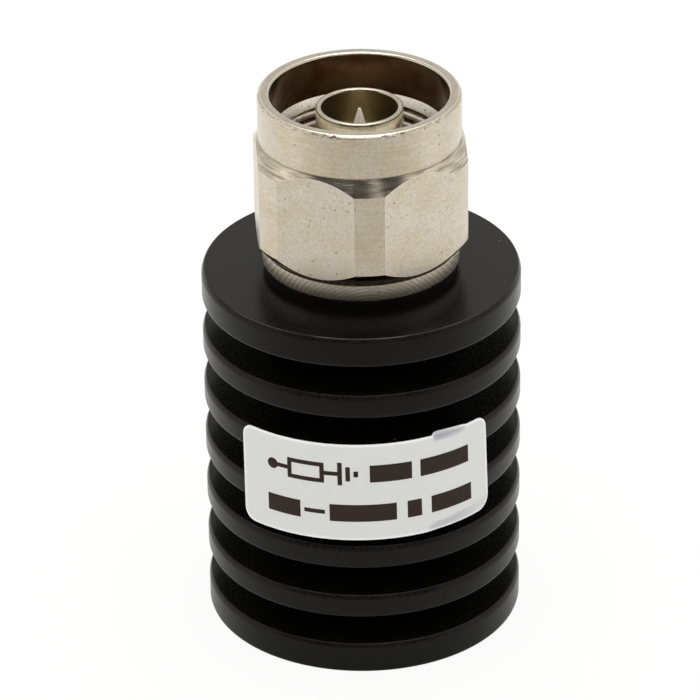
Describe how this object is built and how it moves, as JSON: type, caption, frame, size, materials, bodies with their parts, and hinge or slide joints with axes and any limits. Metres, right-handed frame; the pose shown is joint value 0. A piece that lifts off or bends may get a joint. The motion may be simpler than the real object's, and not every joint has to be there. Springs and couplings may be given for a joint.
{
  "type": "rf dummy load",
  "caption": "Coaxial radio-frequency termination: a plug with a hexagon coupling nut on a black finned heat sink that turns radio power into heat.",
  "frame": {"origin": "middle of the heat sink's flat base", "axes": "+Z along the axis from the base to the plug's mouth, -Y towards the label"},
  "size_m": [0.03, 0.0301, 0.0537],
  "materials": {
    "black_anodised_aluminium": "turned, black anodised, satin",
    "nickel_plated_brass": "turned, nickel plated, satin with fine scratches",
    "spring_steel": "plain spring steel",
    "red_silicone": "matt silicone",
    "plated_contact": "turned, plated, polished",
    "white_dielectric": "turned, waxy",
    "film_on_ceramic": "dark film on a ceramic rod",
    "tinned_brass": "tinned",
    "plain_brass": "turned",
    "white_label": "matt film with plain dark print bars"
  },
  "bodies": {
    "load": {"heat_sink": "black_anodised_aluminium", "connector_body": "nickel_plated_brass", "outer_contact": "nickel_plated_brass", "retaining_ring": "spring_steel", "gasket": "red_silicone", "center_pin": "plated_contact", "dielectric_bead": "white_dielectric", "retainer_bush": "nickel_plated_brass", "rear_contact": "plated_contact", "resistor_rod": "film_on_ceramic", "front_cap": "tinned_brass", "rear_cap": "tinned_brass", "taper_sleeve": "plain_brass", "label": "white_label"},
    "nut": {"coupling_nut": "nickel_plated_brass"}
  },
  "joints": [
    {"name": "nut_spin", "type": "hinge", "parent": "load", "child": "nut", "pos_m": [0, 0, 0.0464], "axis": [0, 0, 1], "continuous": true}
  ]
}
